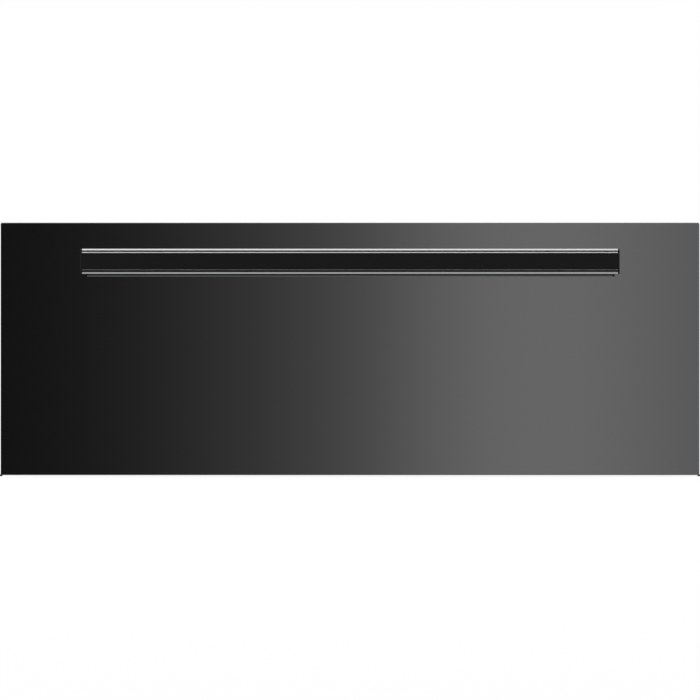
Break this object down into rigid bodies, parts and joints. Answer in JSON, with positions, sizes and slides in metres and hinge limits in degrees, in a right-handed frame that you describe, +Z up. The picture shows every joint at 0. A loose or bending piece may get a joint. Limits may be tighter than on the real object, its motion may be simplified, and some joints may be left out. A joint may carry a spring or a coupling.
{
  "type": "built in warming drawer",
  "caption": "Built in warming drawer with a black glass front, long bar handle, heated cavity and pan on full extension ball slides.",
  "frame": {"origin": "middle of the drawer's overall footprint, on the shelf that its runners stand on", "axes": "+Z up; the glass front and handle face -Y, and the drawer opens towards -Y; +X is to the right seen from the front"},
  "size_m": [0.7582, 0.683, 0.2747],
  "materials": {
    "black_glass": "polished black mirror glass, opaque",
    "black_steel": "black powder coat on sheet steel",
    "handle_aluminium": "bright anodised, fine drawn lines",
    "handle_black": "black let-in strip",
    "black_plastic": "moulded black",
    "key_plastic": "moulded dark grey",
    "lens_plastic": "amber lens",
    "circuit_board": "green board",
    "stainless": "brushed stainless sheet",
    "pan_stainless": "drawn stainless, satin",
    "galvanised": "galvanised sheet",
    "zinc_steel": "zinc plated, roll formed",
    "bearing_steel": "steel cage with bright balls",
    "chromed_wire": "chromed wire",
    "screw_steel": "zinc plated screws",
    "element_sheath": "oxidised heater sheath",
    "probe_steel": "stainless probe",
    "mineral_wool": "mineral wool",
    "silicone": "dark silicone",
    "nylon": "moulded lever"
  },
  "bodies": {
    "cabinet": {"base_pan": "galvanised", "side_panel_left": "galvanised", "side_panel_right": "galvanised", "top_panel": "galvanised", "rear_panel": "galvanised", "supply_box": "galvanised", "casing_screws": "screw_steel", "front_frame": "black_steel", "liner_floor": "stainless", "liner_side_left": "stainless", "liner_side_right": "stainless", "liner_ceiling": "stainless", "liner_rear": "stainless", "insulation_wrap": "mineral_wool", "insulation_rear": "mineral_wool", "heating_element": "element_sheath", "element_clips": "screw_steel", "temperature_probe": "probe_steel", "thermal_cutout": "black_plastic", "control_module": "black_plastic", "slide_outer_left": "zinc_steel", "slide_outer_right": "zinc_steel"},
    "drawer": {"front_glass": "black_glass", "glass_clips": "black_plastic", "handle_bar": "handle_aluminium", "handle_insert": "handle_black", "handle_end_caps": "black_plastic", "handle_post_left": "handle_aluminium", "handle_post_right": "handle_aluminium", "handle_bolts_and_nuts": "screw_steel", "front_shell": "black_steel", "front_liner": "stainless", "front_insulation": "mineral_wool", "front_gasket": "silicone", "control_fascia": "black_plastic", "indicator_lenses": "lens_plastic", "key_board": "circuit_board", "drawer_pan": "pan_stainless", "side_rail_left": "stainless", "side_rail_right": "stainless", "front_angle": "stainless", "rear_angle": "stainless", "slide_inner_left": "zinc_steel", "slide_inner_right": "zinc_steel"},
    "vent": {"vent_shutter": "stainless"},
    "rack": {"wire_rack": "chromed_wire"},
    "middle_left": {"slide_middle_left": "zinc_steel"},
    "middle_right": {"slide_middle_right": "zinc_steel"},
    "cage_outer_left": {"ball_cage_outer_left": "bearing_steel"},
    "cage_outer_right": {"ball_cage_outer_right": "bearing_steel"},
    "cage_inner_left": {"ball_cage_inner_left": "bearing_steel"},
    "cage_inner_right": {"ball_cage_inner_right": "bearing_steel"},
    "lever_left": {"release_lever_left": "nylon"},
    "lever_right": {"release_lever_right": "nylon"},
    "key_off": {"key_off": "key_plastic"},
    "key_low": {"key_low": "key_plastic"},
    "key_medium": {"key_medium": "key_plastic"},
    "key_high": {"key_high": "key_plastic"}
  },
  "joints": [
    {"name": "drawer_slide", "type": "slide", "parent": "cabinet", "child": "drawer", "axis": [0, -1, 0], "range_m": [0, 0.42]},
    {"name": "middle_left_slide", "type": "slide", "parent": "cabinet", "child": "middle_left", "axis": [0, -1, 0], "range_m": [0, 0.21]},
    {"name": "cage_outer_left_slide", "type": "slide", "parent": "cabinet", "child": "cage_outer_left", "axis": [0, -1, 0], "range_m": [0, 0.105]},
    {"name": "cage_inner_left_slide", "type": "slide", "parent": "cabinet", "child": "cage_inner_left", "axis": [0, -1, 0], "range_m": [0, 0.315]},
    {"name": "middle_right_slide", "type": "slide", "parent": "cabinet", "child": "middle_right", "axis": [0, -1, 0], "range_m": [0, 0.21]},
    {"name": "cage_outer_right_slide", "type": "slide", "parent": "cabinet", "child": "cage_outer_right", "axis": [0, -1, 0], "range_m": [0, 0.105]},
    {"name": "cage_inner_right_slide", "type": "slide", "parent": "cabinet", "child": "cage_inner_right", "axis": [0, -1, 0], "range_m": [0, 0.315]},
    {"name": "key_off_press", "type": "slide", "parent": "drawer", "child": "key_off", "axis": [0, 0, -1], "range_m": [0, 0.0006], "stiffness_N_per_m": 400, "springref_m": -0.0004},
    {"name": "key_low_press", "type": "slide", "parent": "drawer", "child": "key_low", "axis": [0, 0, -1], "range_m": [0, 0.0006], "stiffness_N_per_m": 400, "springref_m": -0.0004},
    {"name": "key_medium_press", "type": "slide", "parent": "drawer", "child": "key_medium", "axis": [0, 0, -1], "range_m": [0, 0.0006], "stiffness_N_per_m": 400, "springref_m": -0.0004},
    {"name": "key_high_press", "type": "slide", "parent": "drawer", "child": "key_high", "axis": [0, 0, -1], "range_m": [0, 0.0006], "stiffness_N_per_m": 400, "springref_m": -0.0004},
    {"name": "vent_slide", "type": "slide", "parent": "drawer", "child": "vent", "axis": [1, 0, 0], "range_m": [0, 0.01]},
    {"name": "rack_lift", "type": "slide", "parent": "drawer", "child": "rack", "axis": [0, 0, 1], "range_m": [0, 0.12]},
    {"name": "lever_left_press", "type": "hinge", "parent": "drawer", "child": "lever_left", "pos_m": [-0.32564, -0.0583, 0.14705], "axis": [1, 0, 0], "range_deg": [0, 12], "stiffness_Nm_per_rad": 0.1},
    {"name": "lever_right_press", "type": "hinge", "parent": "drawer", "child": "lever_right", "pos_m": [0.32564, -0.0583, 0.14705], "axis": [1, 0, 0], "range_deg": [0, 12], "stiffness_Nm_per_rad": 0.1}
  ],
  "couplings": [
    {"joint": "middle_left_slide", "follows": "drawer_slide", "ratio": 0.5},
    {"joint": "cage_outer_left_slide", "follows": "drawer_slide", "ratio": 0.25},
    {"joint": "cage_inner_left_slide", "follows": "drawer_slide", "ratio": 0.75},
    {"joint": "middle_right_slide", "follows": "drawer_slide", "ratio": 0.5},
    {"joint": "cage_outer_right_slide", "follows": "drawer_slide", "ratio": 0.25},
    {"joint": "cage_inner_right_slide", "follows": "drawer_slide", "ratio": 0.75}
  ]
}
